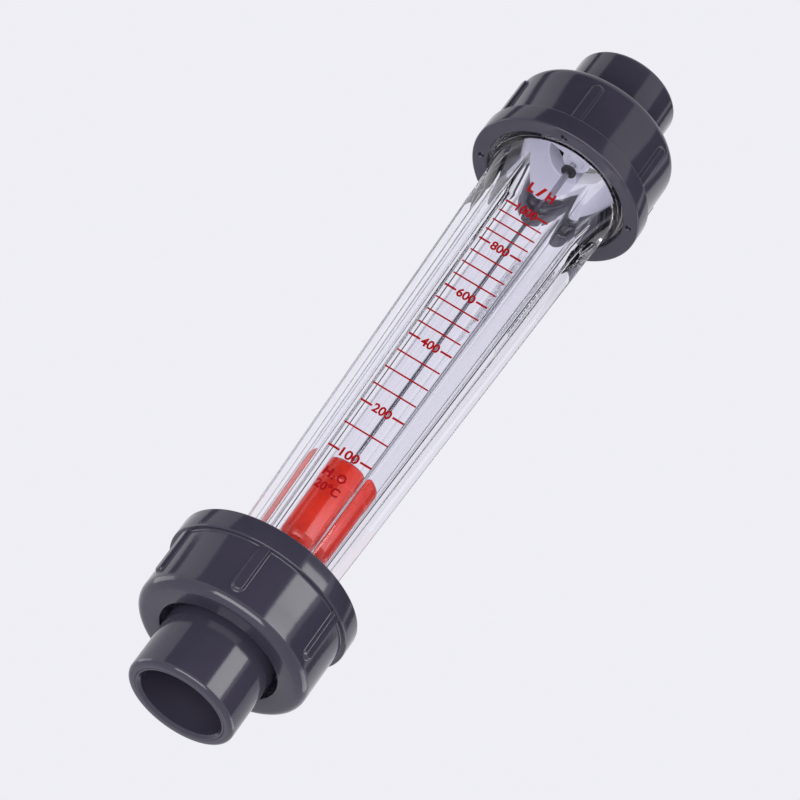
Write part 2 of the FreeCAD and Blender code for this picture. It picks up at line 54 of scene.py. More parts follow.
# Stations and radii read from the frame
TUBE_LOW, TUBE_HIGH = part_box("tube")[0][2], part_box("tube")[1][2]
THREAD_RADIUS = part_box("tube")[1][0]
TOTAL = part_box("upper_connector")[1][2]
NUT_FACE, NUT_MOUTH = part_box("lower_nut")[0][2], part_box("lower_nut")[1][2]
COLLAR_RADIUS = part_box("lower_nut")[1][0]
FLANGE_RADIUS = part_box("lower_connector")[1][0]
POCKET_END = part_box("lower_holder")[1][2]
HOLDER_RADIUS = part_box("lower_holder")[1][0]
ROD_LOW, ROD_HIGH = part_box("guide_rod")[0][2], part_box("guide_rod")[1][2]
ROD_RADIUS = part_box("guide_rod")[1][0]
FLOAT_LOW, FLOAT_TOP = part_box("float_plug")[0][2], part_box("float_shell")[1][2]
FLOAT_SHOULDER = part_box("float_shell")[0][2]
HEAD_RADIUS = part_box("float_shell")[1][0]
FLOAT_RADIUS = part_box("float_plug")[1][0]

# Sizes of the parts that the boxes don't tell
THREAD_END = TUBE_LOW + 12.5 * MM
UPPER_THREAD_END = TOTAL - THREAD_END
LOW_FACET = THREAD_RADIUS - 7.2 * MM
HIGH_FACET = THREAD_RADIUS - 3.6 * MM
CORNER_ROUND = 1.2 * MM
LOW_FLARE = 9.0 * MM
LOW_FLARE_SINK = 0.15 * MM
LOW_FLARE_ROUND = 14.0 * MM
HIGH_FLARE = 17.0 * MM
HIGH_FLARE_SINK = 0.6 * MM
HIGH_FLARE_ROUND = 90.0 * MM
POCKET_RADIUS = HOLDER_RADIUS + 0.05 * MM
CUP_RADIUS = HOLDER_RADIUS - 1.2 * MM
BORE_LOW = 6.95 * MM
BORE_HIGH = 9.1 * MM
LOW_BELL = 7.5 * MM
HIGH_BELL = 16.6 * MM
HIGH_BELL_ROUND = 90.0 * MM
BARREL_RADIUS = COLLAR_RADIUS - 1.2 * MM
NUT_BORE = THREAD_RADIUS + 0.3 * MM
NUT_INSIDE = NUT_FACE + 3.4 * MM
SPIGOT_RADIUS = 13.05 * MM
NUT_HOLE = SPIGOT_RADIUS + 0.4 * MM
COLLAR_START = NUT_MOUTH - 5.2 * MM
SOCKET_RADIUS = 10.0 * MM
SOCKET_DEPTH = 16.0 * MM
THROAT_RADIUS = 7.5 * MM
FLANGE_BACK = NUT_INSIDE + 0.05 * MM
THREAD_PITCH = 2.5 * MM
NUT_TURNS = {"lower": math.radians(-3.2), "upper": math.radians(-6.5)}
FACET_LEAN = math.atan((HIGH_FACET - LOW_FACET) / (UPPER_THREAD_END - THREAD_END))

# The photograph's camera: focal length in pixels and the object's axes in the camera's view
PHOTO_SIDE = 800
FOCAL_PIXELS = 3492.62
SENSOR = 36.0
AXIS_IN_VIEW = Vector((0.50280668, -0.68760847, 0.52381297))
SIDE_IN_VIEW = Vector((0.80735691, 0.59006326, -0.00040464))
FACET_TURN = math.radians(9.5)
CENTRE_PIXEL = (417.765, 378.088)
CENTRE_DISTANCE = 783.82 * MM
VIEW_END = 20.0


def make_camera():
    """The camera that sees the object as the photograph does."""
    toward = SIDE_IN_VIEW.cross(AXIS_IN_VIEW)
    x_axis = SIDE_IN_VIEW * math.cos(FACET_TURN) + toward * math.sin(FACET_TURN)
    y_axis = SIDE_IN_VIEW * math.sin(FACET_TURN) - toward * math.cos(FACET_TURN)
    axes = (x_axis, y_axis, AXIS_IN_VIEW)
    across, down = [(pixel - PHOTO_SIDE / 2) / FOCAL_PIXELS * CENTRE_DISTANCE for pixel in CENTRE_PIXEL]
    centre = Vector((across, down, CENTRE_DISTANCE))
    place = Vector([-centre.dot(axis) for axis in axes]) + Vector((0, 0, TOTAL / 2))
    right = Vector([axis.x for axis in axes])
    up = -Vector([axis.y for axis in axes])
    back = -Vector([axis.z for axis in axes])
    camera = bpy.data.objects.new("camera", bpy.data.cameras.new("camera"))
    camera.matrix_world = Matrix((
        (right.x, up.x, back.x, place.x),
        (right.y, up.y, back.y, place.y),
        (right.z, up.z, back.z, place.z),
        (0, 0, 0, 1),
    ))
    camera.data.sensor_width = SENSOR
    camera.data.lens = FOCAL_PIXELS / PHOTO_SIDE * SENSOR
    camera.data.clip_end = VIEW_END
    bpy.context.collection.objects.link(camera)
    bpy.context.scene.camera = camera


# Materials

COLOUR_DRIFT = 70.0
SKIN_GRAIN = 900.0
SKIN_RELIEF = 0.02 * MM
SKIN_STRENGTH = 0.25
RAMP_ENDS = (0.35, 0.65)


def new_material(name, **settings):
    """A material whose shader has these plain settings, with its nodes for a pattern."""
    material = bpy.data.materials.new(name)
    material.use_nodes = True
    shader = material.node_tree.nodes["Principled BSDF"]
    for socket, setting in settings.items():
        shader.inputs[socket.replace("_", " ")].default_value = setting
    return material, material.node_tree.nodes, material.node_tree.links, shader


def noise_on(nodes, links, scale, detail=3.0, stretch=(1, 1, 1)):
    """Noise in the piece's own coordinates."""
    place = nodes.new("ShaderNodeTexCoord")
    mapping = nodes.new("ShaderNodeMapping")
    mapping.inputs["Scale"].default_value = stretch
    noise = nodes.new("ShaderNodeTexNoise")
    noise.inputs["Scale"].default_value = scale
    noise.inputs["Detail"].default_value = detail
    links.new(place.outputs["Object"], mapping.inputs["Vector"])
    links.new(mapping.outputs["Vector"], noise.inputs["Vector"])
    return noise


def colour_between(nodes, links, source, shader, dark, light):
    """Base colour that runs from dark to light with the pattern."""
    ramp = nodes.new("ShaderNodeValToRGB")
    for stop, position, colour in zip(ramp.color_ramp.elements, RAMP_ENDS, (dark, light)):
        stop.position = position
        stop.color = (*colour, 1)
    links.new(source.outputs["Fac"], ramp.inputs["Fac"])
    links.new(ramp.outputs["Color"], shader.inputs["Base Color"])


def roughness_between(nodes, links, source, shader, low, high):
    """Roughness that runs from low to high with the pattern."""
    reach = nodes.new("ShaderNodeMapRange")
    reach.inputs["To Min"].default_value = low
    reach.inputs["To Max"].default_value = high
    links.new(source.outputs["Fac"], reach.inputs["Value"])
    links.new(reach.outputs["Result"], shader.inputs["Roughness"])


def bump_from(nodes, links, source, shader, height, strength):
    """Surface relief of that height, in metres, from the pattern."""
    bump = nodes.new("ShaderNodeBump")
    bump.inputs["Distance"].default_value = height
    bump.inputs["Strength"].default_value = strength
    links.new(source.outputs["Fac"], bump.inputs["Height"])
    links.new(bump.outputs["Normal"], shader.inputs["Normal"])


def moulded(name, dark, light, rough, **settings):
    """Moulded plastic or rubber: faint colour drift, uneven gloss and a fine skin."""
    material, nodes, links, shader = new_material(name, **settings)
    drift = noise_on(nodes, links, COLOUR_DRIFT)
    colour_between(nodes, links, drift, shader, dark, light)
    skin = noise_on(nodes, links, SKIN_GRAIN, detail=2.0)
    roughness_between(nodes, links, skin, shader, *rough)
    bump_from(nodes, links, skin, shader, SKIN_RELIEF, SKIN_STRENGTH)
    return material


def clear_acrylic():
    """The tube's clear plastic, with the faint waves of moulding."""
    material, nodes, links, shader = new_material(
        "clear acrylic", Transmission_Weight=1.0, IOR=1.49, Roughness=0.012)
    waves = noise_on(nodes, links, scale=60.0, detail=1.0, stretch=(1, 1, 0.12))
    colour_between(nodes, links, waves, shader, dark=(0.945, 0.935, 0.985), light=(0.965, 0.958, 1.0))
    bump_from(nodes, links, waves, shader, height=0.05 * MM, strength=0.12)
    return material


def drawn_steel(name, dark, light):
    """Ground steel with fine lines along the axis."""
    material, nodes, links, shader = new_material(name, Metallic=1.0)
    lines = noise_on(nodes, links, scale=900.0, detail=2.0, stretch=(1, 1, 0.03))
    colour_between(nodes, links, lines, shader, dark, light)
    roughness_between(nodes, links, lines, shader, low=0.18, high=0.34)
    return material


def label_film():
    """Thin clear film with a faint haze."""
    material, nodes, links, shader = new_material(
        "label film", Transmission_Weight=1.0, IOR=1.46, Roughness=0.015)
    haze = noise_on(nodes, links, scale=300.0)
    colour_between(nodes, links, haze, shader, dark=(0.93, 0.93, 0.96), light=(0.97, 0.97, 0.99))
    return material


GREY_PVC = moulded("grey pvc", (0.030, 0.027, 0.042), (0.035, 0.031, 0.048), (0.10, 0.15))
BLACK_RUBBER = moulded("black rubber", (0.012, 0.012, 0.013), (0.02, 0.02, 0.021), (0.5, 0.7))
LIGHT_PLASTIC = moulded("light grey plastic", (0.88, 0.88, 0.96), (0.92, 0.92, 0.98), (0.30, 0.42))
RED_PLASTIC = moulded("red float plastic", (0.92, 0.034, 0.010), (0.98, 0.044, 0.014), (0.16, 0.24))
SCALE_INK = moulded("red ink", (0.26, 0.001, 0.004), (0.30, 0.002, 0.005), (0.5, 0.65),
                    Specular_IOR_Level=0.12)
LABEL_INK = moulded("grey ink", (0.13, 0.13, 0.14), (0.18, 0.18, 0.19), (0.5, 0.7))
CLEAR_ACRYLIC = clear_acrylic()
DRAWN_STEEL = drawn_steel("drawn steel", (0.50, 0.50, 0.53), (0.62, 0.62, 0.65))
BLACK_STEEL = drawn_steel("blackened steel", (0.10, 0.10, 0.11), (0.16, 0.16, 0.17))
LABEL_FILM = label_film()


# Mesh making

SHARP_ANGLE = math.radians(28)
ON_AXIS = 1e-9
WELD = 1e-7
PRINT_WELD = 1e-8


def arc(start, end, radius, side, steps):
    """Points on the arc of that radius from start to end, the start left out.

    It bulges to the right of the way for side 1, and to the left for side -1.
    """
    start, end = Vector(start), Vector(end)
    middle, way = (start + end) / 2, end - start
    reach = math.sqrt(radius**2 - (way.length / 2) ** 2)
    centre = middle - Vector((way.y, -way.x)).normalized() * reach * side
    first = start - centre
    sweep = first.angle_signed(end - centre)
    points = []
    for step in range(1, steps + 1):
        turn = -sweep * step / steps
        arm = Vector((first.x * math.cos(turn) - first.y * math.sin(turn),
                      first.x * math.sin(turn) + first.y * math.cos(turn)))
        points.append(tuple(centre + arm))
    return points


def rounded(corners, steps=4):
    """The outline with each corner (radius, station, fillet) turned into an arc of that fillet."""
    points = []
    for index, corner in enumerate(corners):
        here = Vector(corner[:2])
        if len(corner) < 3:
            points.append(tuple(here))
            continue
        before = (Vector(corners[index - 1][:2]) - here).normalized()
        after = (Vector(corners[(index + 1) % len(corners)][:2]) - here).normalized()
        opening = before.angle(after) / 2
        cut = corner[2] / math.tan(opening)
        centre = here + (before + after).normalized() * (corner[2] / math.sin(opening))
        first, last = here + before * cut - centre, here + after * cut - centre
        for step in range(steps + 1):
            points.append(tuple(centre + first.slerp(last, step / steps) * corner[2]))
    return points


def mesh_from(name, made):
    """The mesh that a bmesh holds."""
    mesh = bpy.data.meshes.new(name)
    made.to_mesh(mesh)
    made.free()
    return mesh


def linked(name, mesh, material):
    """An object for the mesh, in the scene, with its material."""
    piece = bpy.data.objects.new(name, mesh)
    mesh.materials.clear()
    mesh.materials.append(material)
    bpy.context.collection.objects.link(piece)
    return piece


def smooth_piece(name, made, material):
    """A piece from bmesh: merged, smooth, with its faces outward and its sharp edges marked."""
    bmesh.ops.remove_doubles(made, verts=made.verts, dist=WELD)
    bmesh.ops.recalc_face_normals(made, faces=made.faces)
    for edge in made.edges:
        if len(edge.link_faces) == 2 and edge.calc_face_angle(0) > SHARP_ANGLE:
            edge.smooth = False
    mesh = mesh_from(name, made)
    mesh.shade_smooth()
    return linked(name, mesh, material)


def lathe(name, outline, material, bearings=None, segments=128):
    """A piece turned about the axis from a closed outline of (radius, station) points."""
    bearings = bearings or [TURN * step / segments for step in range(segments)]
    made = bmesh.new()
    rings = []
    for radius, station in outline:
        if radius < ON_AXIS:
            rings.append([made.verts.new((0, 0, station))] * len(bearings))
        else:
            rings.append([made.verts.new((radius * math.cos(bearing), radius * math.sin(bearing), station))
                          for bearing in bearings])
    for index, ring in enumerate(rings):
        previous = rings[index - 1]
        for column in range(len(bearings)):
            corners = [previous[column - 1], previous[column], ring[column], ring[column - 1]]
            corners = list(dict.fromkeys(corners))
            if len(corners) > 2:
                made.faces.new(corners)
    return smooth_piece(name, made, material)


def turned_over(piece):
    """Turns a lower end's piece over about Y for the upper end."""
    piece.data.transform(Matrix.Translation((0, 0, TOTAL)) @ Matrix.Rotation(math.pi, 4, "Y"))


# Geometry Nodes helpers

DIMPLE_RIM = 0.03 * MM
DIMPLE_DRAFT = 0.09 * MM

# How near a skin or face a vertex lies to be shaped with it
SKIN_REACH = 0.02 * MM
FACE_REACH = 0.001 * MM


class Nodes:
    """A Geometry Nodes tree being built, with short ways to add its nodes."""

    def __init__(self, name, inputs):
        self.tree = bpy.data.node_groups.new(name, "GeometryNodeTree")
        self.tree.is_modifier = True
        sockets = self.tree.interface
        sockets.new_socket("Geometry", in_out="OUTPUT", socket_type="NodeSocketGeometry")
        sockets.new_socket("Geometry", in_out="INPUT", socket_type="NodeSocketGeometry")
        for label, kind in inputs.items():
            sockets.new_socket(label, in_out="INPUT", socket_type=f"NodeSocket{kind}")
        self.given = self.tree.nodes.new("NodeGroupInput").outputs

    def add(self, kind, inputs=None, **settings):
        """A node with these inputs, each a plain value or another node's output."""
        node = self.tree.nodes.new(kind)
        for setting, value in settings.items():
            setattr(node, setting, value)
        for socket, value in (inputs or {}).items():
            if isinstance(value, bpy.types.NodeSocket):
                self.tree.links.new(value, node.inputs[socket])
            else:
                node.inputs[socket].default_value = value
        return node

    def calc(self, operation, *values):
        """One step of arithmetic."""
        return self.add("ShaderNodeMath", dict(enumerate(values)), operation=operation).outputs[0]

    def length(self, first, second):
        """The length of the arrow with these two parts."""
        squares = [self.calc("MULTIPLY", part, part) for part in (first, second)]
        return self.calc("SQRT", self.calc("ADD", *squares))

    def share(self, value, low, high, way="SMOOTHSTEP"):
        """How far the value lies from low to high, between 0 and 1."""
        return self.add("ShaderNodeMapRange", {
            "Value": value, "From Min": low, "From Max": high, "To Min": 0.0, "To Max": 1.0,
        }, interpolation_type=way).outputs[0]

    def moved(self, chosen, shift):
        """The given geometry with its chosen vertices shifted."""
        return self.add("GeometryNodeSetPosition", {
            "Geometry": self.given["Geometry"], "Selection": chosen, "Offset": shift}).outputs[0]

    def finish(self, geometry):
        """Ends the tree with real geometry in the given material."""
        real = self.add("GeometryNodeRealizeInstances", {"Geometry": geometry}).outputs[0]
        painted = self.add("GeometryNodeSetMaterial", {"Geometry": real, "Material": self.given["Material"]})
        self.tree.links.new(painted.outputs[0], self.tree.nodes.new("NodeGroupOutput").inputs[0])
        return self.tree


def made_real(piece, tree, **values):
    """Runs a tree on a piece with these inputs and keeps the result as its plain mesh."""
    modifier = piece.modifiers.new(tree.name, "NODES")
    modifier.node_group = tree
    for item in tree.interface.items_tree:
        label = item.name.replace(" ", "_")
        if item.in_out == "INPUT" and label in values:
            modifier[item.identifier] = values[label]
    bpy.context.view_layer.update()
    result = piece.evaluated_get(bpy.context.evaluated_depsgraph_get())
    mesh = bpy.data.meshes.new_from_object(result)
    piece.modifiers.clear()
    piece.data = mesh


def polar_place(nodes):
    """The vertex's distance from the axis, bearing, station and outward direction."""
    position = nodes.add("GeometryNodeInputPosition").outputs[0]
    parts = nodes.add("ShaderNodeSeparateXYZ", {0: position}).outputs
    bearing = nodes.calc("ARCTAN2", parts["Y"], parts["X"])
    flat = nodes.add("ShaderNodeVectorMath", {0: position, 1: (1, 1, 0)}, operation="MULTIPLY").outputs[0]
    radius = nodes.add("ShaderNodeVectorMath", {0: flat}, operation="LENGTH").outputs["Value"]
    outward = nodes.add("ShaderNodeVectorMath", {0: flat}, operation="NORMALIZE").outputs[0]
    return radius, bearing, parts["Z"], outward


def pushed(nodes, outward, amount, chosen):
    """Moves the chosen vertices outward by the amount."""
    shift = nodes.add("ShaderNodeVectorMath", {0: outward, "Scale": amount}, operation="SCALE").outputs[0]
    return nodes.moved(chosen, shift)


def swing_from_nearest(nodes, bearing, count, turn):
    """The bearing measured from the nearest of that many even places round the axis."""
    step = nodes.calc("DIVIDE", TURN, count)
    turned = nodes.calc("SUBTRACT", bearing, turn)
    nearest = nodes.calc("MULTIPLY", nodes.calc("ROUND", nodes.calc("DIVIDE", turned, step)), step)
    return nodes.calc("SUBTRACT", turned, nearest)


def rib_tree():
    """Raises gripping ribs with drafted, rounded sides and round feet out of a turned barrel."""
    nodes = Nodes("gripping ribs", {
        "Material": "Material", "Barrel radius": "Float", "Rib count": "Float", "Turn": "Float",
        "Half width": "Float", "Draft": "Float", "Height": "Float", "Foot": "Float", "Head": "Float"})
    given = nodes.given
    radius, bearing, station, outward = polar_place(nodes)
    swing = swing_from_nearest(nodes, bearing, given["Rib count"], given["Turn"])
    across = nodes.calc("MULTIPLY", swing, given["Barrel radius"])
    beyond = nodes.calc("MAXIMUM", nodes.calc("SUBTRACT", given["Foot"], station), 0.0)
    inner = nodes.calc("SUBTRACT", given["Half width"], given["Draft"])
    rise = nodes.share(nodes.length(across, beyond), given["Half width"], inner)
    crest = nodes.calc("ADD", given["Barrel radius"], nodes.calc("MULTIPLY", rise, given["Height"]))
    amount = nodes.calc("MAXIMUM", nodes.calc("SUBTRACT", crest, radius), 0.0)
    skin = nodes.calc("SUBTRACT", given["Barrel radius"], SKIN_REACH)
    below = nodes.calc("LESS_THAN", station, given["Head"])
    on_skin = nodes.calc("MULTIPLY", nodes.calc("GREATER_THAN", radius, skin), below)
    chosen = nodes.calc("MULTIPLY", on_skin, nodes.calc("GREATER_THAN", rise, 0.0))
    return nodes.finish(pushed(nodes, outward, amount, chosen))


def dimple_tree():
    """Sinks round dimples into a flat face that looks up the axis."""
    nodes = Nodes("dimples", {
        "Material": "Material", "Count": "Float", "Turn": "Float", "Pitch radius": "Float",
        "Dimple radius": "Float", "Depth": "Float", "Face": "Float"})
    given = nodes.given
    radius, bearing, station, _ = polar_place(nodes)
    swing = swing_from_nearest(nodes, bearing, given["Count"], given["Turn"])
    across = nodes.calc("MULTIPLY", radius, nodes.calc("SINE", swing))
    reach = nodes.calc("MULTIPLY", radius, nodes.calc("COSINE", swing))
    along = nodes.calc("SUBTRACT", reach, given["Pitch radius"])
    rim = nodes.calc("ADD", given["Dimple radius"], DIMPLE_RIM)
    floor = nodes.calc("SUBTRACT", given["Dimple radius"], DIMPLE_DRAFT)
    sink = nodes.share(nodes.length(across, along), rim, floor, "LINEAR")
    down = nodes.calc("MULTIPLY", nodes.calc("MULTIPLY", sink, given["Depth"]), -1.0)
    shift = nodes.add("ShaderNodeCombineXYZ", {2: down}).outputs[0]
    chosen = nodes.calc("GREATER_THAN", station, nodes.calc("SUBTRACT", given["Face"], FACE_REACH))
    return nodes.finish(nodes.moved(chosen, shift))


def thread_tree():
    """Cuts or raises a right-hand thread between two stations on the skin between two radii."""
    nodes = Nodes("thread", {
        "Material": "Material", "Pitch": "Float", "Depth": "Float", "Start": "Float", "End": "Float",
        "Fade": "Float", "Inner skin": "Float", "Outer skin": "Float", "Flank start": "Float",
        "Flank end": "Float"})
    given = nodes.given
    radius, bearing, station, outward = polar_place(nodes)
    turns = nodes.calc("DIVIDE", bearing, TURN)
    phase = nodes.calc("FRACT", nodes.calc("SUBTRACT", nodes.calc("DIVIDE", station, given["Pitch"]), turns))
    valley = nodes.calc("ABSOLUTE", nodes.calc("SUBTRACT", nodes.calc("MULTIPLY", phase, 2.0), 1.0))
    flank = nodes.share(valley, given["Flank start"], given["Flank end"])
    shares = []
    for edge, sign in (("Start", 1.0), ("End", -1.0)):
        inside = nodes.calc("MULTIPLY", nodes.calc("SUBTRACT", station, given[edge]), sign)
        shares.append(nodes.share(inside, 0.0, given["Fade"]))
    depth = nodes.calc("MULTIPLY", flank, given["Depth"])
    cut = nodes.calc("MULTIPLY", depth, nodes.calc("MULTIPLY", *shares))
    above = nodes.calc("GREATER_THAN", radius, given["Inner skin"])
    below = nodes.calc("LESS_THAN", radius, given["Outer skin"])
    amount = nodes.calc("MULTIPLY", cut, -1.0)
    return nodes.finish(pushed(nodes, outward, amount, nodes.calc("MULTIPLY", above, below)))


def bar_tree():
    """Lays a flat bar on each point of a mesh, with the sizes and the turn that the point says."""
    nodes = Nodes("printed bars", {"Material": "Material", "Thickness": "Float"})
    sizes = [nodes.add("GeometryNodeInputNamedAttribute", {"Name": label}, data_type="FLOAT").outputs[0]
             for label in ("bar_across", "bar_up")]
    tilt = nodes.add("GeometryNodeInputNamedAttribute", {"Name": "bar_tilt"}, data_type="FLOAT_VECTOR")
    size = nodes.add("ShaderNodeCombineXYZ", {0: sizes[0], 1: nodes.given["Thickness"], 2: sizes[1]})
    points = nodes.add("GeometryNodeMeshToPoints", {"Mesh": nodes.given["Geometry"]})
    bars = nodes.add("GeometryNodeInstanceOnPoints", {
        "Points": points.outputs[0],
        "Instance": nodes.add("GeometryNodeMeshCube", {"Size": (1, 1, 1)}).outputs[0],
        "Rotation": tilt.outputs[0],
        "Scale": size.outputs[0]})
    return nodes.finish(bars.outputs[0])


RIBS = rib_tree()
DIMPLES = dimple_tree()
THREAD = thread_tree()
BARS = bar_tree()


# Clear tube

FLARE_STEPS = 18
THREAD_STEPS = 50
PRISM_STEPS = 10
FLAT_COLUMNS = 12
CORNER_COLUMNS = 8
BELL_STEPS = 16
HALVINGS = 40
TUBE_THREAD = {"Depth": 0.85 * MM, "Fade": 1.2 * MM, "Flank_start": 0.3, "Flank_end": 0.7}
TUBE_THREAD_MARGIN = 1 * MM


def flare_radius(station, foot, head, round_radius):
    """The radius at a station of a hollow flare from foot to head, both (radius, station)."""
    middle, way = (Vector(foot) + Vector(head)) / 2, Vector(head) - Vector(foot)
    reach = math.sqrt(round_radius**2 - (way.length / 2) ** 2)
    centre = middle + Vector((way.y, -way.x)).normalized() * reach
    return centre.x - math.sqrt(round_radius**2 - (station - centre.y) ** 2)


def low_flare(station):
    """The radius of the lower flare at a station."""
    foot = (THREAD_RADIUS, THREAD_END)
    head = (LOW_FACET - LOW_FLARE_SINK, THREAD_END + LOW_FLARE)
    return flare_radius(station, foot, head, LOW_FLARE_ROUND)


def high_flare(station):
    """The radius of the upper flare at a station."""
    foot = (HIGH_FACET - HIGH_FLARE_SINK, UPPER_THREAD_END - HIGH_FLARE)
    head = (THREAD_RADIUS, UPPER_THREAD_END)
    return flare_radius(station, foot, head, HIGH_FLARE_ROUND)


def facet_distance(station):
    """How far the facets lie from the axis at a station."""
    share = (station - THREAD_END) / (UPPER_THREAD_END - THREAD_END)
    return LOW_FACET + (HIGH_FACET - LOW_FACET) * share


def prism_point(side, share, station):
    """The point of the six-sided section at a station, at a share of one side's flat and corner."""
    facet = facet_distance(station)
    inner = facet - CORNER_ROUND
    facing = TURN * side / 6 - TURN / 4
    out = Vector((math.cos(facing), math.sin(facing)))
    along = Vector((-out.y, out.x))
    reach = inner * math.tan(TURN / 12)
    if share <= 1:
        return out * facet + along * reach * (2 * share - 1)
    bend = facing + (share - 1) * TURN / 6
    return out * inner + along * reach + Vector((math.cos(bend), math.sin(bend))) * CORNER_ROUND


def crossing(flare, column, low, high):
    """The station between low and high where the flare meets the prism in a column."""
    def over(station):
        return flare(station) - prism_point(*column, station).length

    rising = over(high) > over(low)
    for _ in range(HALVINGS):
        middle = (low + high) / 2
        if (over(middle) > 0) == rising:
            high = middle
        else:
            low = middle
    return (low + high) / 2


def tube_column(column):
    """The outer skin's points up one column, with a row on each crease."""
    low_crease = crossing(low_flare, column, THREAD_END, THREAD_END + LOW_FLARE)
    high_crease = crossing(high_flare, column, UPPER_THREAD_END - HIGH_FLARE, UPPER_THREAD_END)
    spans = (
        (TUBE_LOW, THREAD_END, THREAD_STEPS, lambda station: THREAD_RADIUS),
        (THREAD_END, low_crease, FLARE_STEPS, low_flare),
        (low_crease, high_crease, PRISM_STEPS, None),
        (high_crease, UPPER_THREAD_END, FLARE_STEPS, high_flare),
        (UPPER_THREAD_END, TUBE_HIGH, THREAD_STEPS, lambda station: THREAD_RADIUS),
    )
    points = []
    for first, last, steps, skin in spans:
        for step in range(0 if first == TUBE_LOW else 1, steps + 1):
            station = first + (last - first) * step / steps
            held = min(max(station, THREAD_END), UPPER_THREAD_END)
            flat = prism_point(*column, held)
            if skin:
                flat = flat.normalized() * skin(station)
            points.append(Vector((*flat, station)))
    return points


def tube_bore():
    """The outline of the bore from the lower end up: pockets for the cups, bells and the tapered run."""
    upper_pocket = TOTAL - POCKET_END
    bell_start = upper_pocket - HIGH_BELL
    return [
        (POCKET_RADIUS, TUBE_LOW),
        (POCKET_RADIUS, POCKET_END),
        (CUP_RADIUS, POCKET_END),
        (BORE_LOW, POCKET_END + LOW_BELL),
        (BORE_HIGH, bell_start),
        *arc((BORE_HIGH, bell_start), (CUP_RADIUS, upper_pocket), HIGH_BELL_ROUND, side=-1, steps=BELL_STEPS),
        (POCKET_RADIUS, upper_pocket),
        (POCKET_RADIUS, TUBE_HIGH),
    ]


def clear_tube():
    """The clear tube: a tapered prism that flares into threaded ends, with its bore."""
    columns = []
    for side in range(6):
        columns += [(side, step / FLAT_COLUMNS) for step in range(FLAT_COLUMNS)]
        columns += [(side, 1 + step / CORNER_COLUMNS) for step in range(CORNER_COLUMNS)]
    made = bmesh.new()
    bore = tube_bore()
    skins = []
    for column in columns:
        outer = tube_column(column)
        out = outer[0].xy.normalized()
        inner = [Vector((*(out * radius), station)) for radius, station in reversed(bore)]
        skins.append([made.verts.new(point) for point in outer + inner])
    low_crease = THREAD_STEPS + FLARE_STEPS
    high_crease = low_crease + PRISM_STEPS
    creases = (THREAD_STEPS, low_crease, high_crease, high_crease + FLARE_STEPS)
    for index, skin in enumerate(skins):
        before = skins[index - 1]
        for row in range(len(skin)):
            made.faces.new((before[row], skin[row], skin[(row + 1) % len(skin)],
                            before[(row + 1) % len(skin)]))
    for index, skin in enumerate(skins):
        for row in creases:
            made.edges.get((skins[index - 1][row], skin[row])).smooth = False
    piece = smooth_piece("clear_tube", made, CLEAR_ACRYLIC)
    for start, end in ((TUBE_LOW, THREAD_END), (UPPER_THREAD_END, TUBE_HIGH)):
        made_real(piece, THREAD, Material=CLEAR_ACRYLIC, Pitch=THREAD_PITCH, Start=start, End=end,
                  Inner_skin=THREAD_RADIUS - SKIN_REACH, Outer_skin=THREAD_RADIUS + TUBE_THREAD_MARGIN,
                  **TUBE_THREAD)
    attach(piece, "metering_tube")
    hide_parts("tube")


# Unions

RIB_COUNT = 6
RIB_HALF_WIDTH = 1.55 * MM
RIB_DRAFT = 0.62 * MM
RIB_HEIGHT = 0.75 * MM
RIB_HEAD = COLLAR_START + 0.1 * MM
RIB_FOOT = NUT_FACE + 3.6 * MM + 1.35 * MM
SHOULDER_ROUND = 2.4 * MM
DIMPLE_COUNT = 4
DIMPLE_RADIUS = 0.8 * MM
DIMPLE_DEPTH = 1.1 * MM
DIMPLE_PITCH_RADIUS = COLLAR_RADIUS - 2.5 * MM
NUT_EDGE = 0.3 * MM
COLLAR_FILLET = 0.35 * MM
COLLAR_EDGE = 0.45 * MM
NUT_CHAMFER = 0.35 * MM
CHAMFER_ROUND = 0.1 * MM
NUT_COLUMNS = 96
CLOSE_COLUMNS = 12
RIB_REACH = 2.1 * MM
RIB_ROWS = 18
RIB_ROWS_START = RIB_FOOT - RIB_HALF_WIDTH * 1.2
RIB_ROWS_LENGTH = 3.6 * MM
DIMPLE_REACH = 1.1 * MM
DIMPLE_ROWS = 12
NUT_THREAD_ROWS = 64
NUT_THREAD_MARGIN = 1 * MM
NUT_THREAD = {"Depth": 0.75 * MM, "Fade": 1.0 * MM, "Flank_start": 0.5, "Flank_end": 0.9}
MOUTH_CHAMFER = (0.55 * MM, 0.7 * MM)
MOUTH_EDGE = 0.15 * MM
SPIGOT_EDGE = 1.1 * MM
SOCKET_END_ROUND = 0.3 * MM
FLANGE_EDGE = 0.2 * MM
GROOVE_INNER = 13.9 * MM
GROOVE_OUTER = 16.5 * MM
GROOVE_DEPTH = 1.9 * MM
SOCKET_TAPER = 0.1 * MM

# The fine ring in the end face: its edges and its middle, measured from the socket's wall
FACE_LINE = (0.9 * MM, 1.0 * MM, 1.1 * MM)
FACE_LINE_DEPTH = 0.12 * MM


def nut_bearings(turn):
    """Bearings for the nut's columns, close together over each rib and dimple."""
    rib_width, dimple_width = RIB_REACH / BARREL_RADIUS, DIMPLE_REACH / DIMPLE_PITCH_RADIUS
    bearings = [TURN * step / NUT_COLUMNS for step in range(NUT_COLUMNS)]
    for count, width in ((RIB_COUNT, rib_width), (DIMPLE_COUNT, dimple_width)):
        for number in range(count):
            middle = (turn - TURN / 4 + TURN * number / count) % TURN
            bearings = [bearing for bearing in bearings
                        if abs((bearing - middle + TURN / 2) % TURN - TURN / 2) > width]
            bearings += [(middle + width * (step / CLOSE_COLUMNS - 1)) % TURN
                         for step in range(2 * CLOSE_COLUMNS + 1)]
    return sorted(bearings)


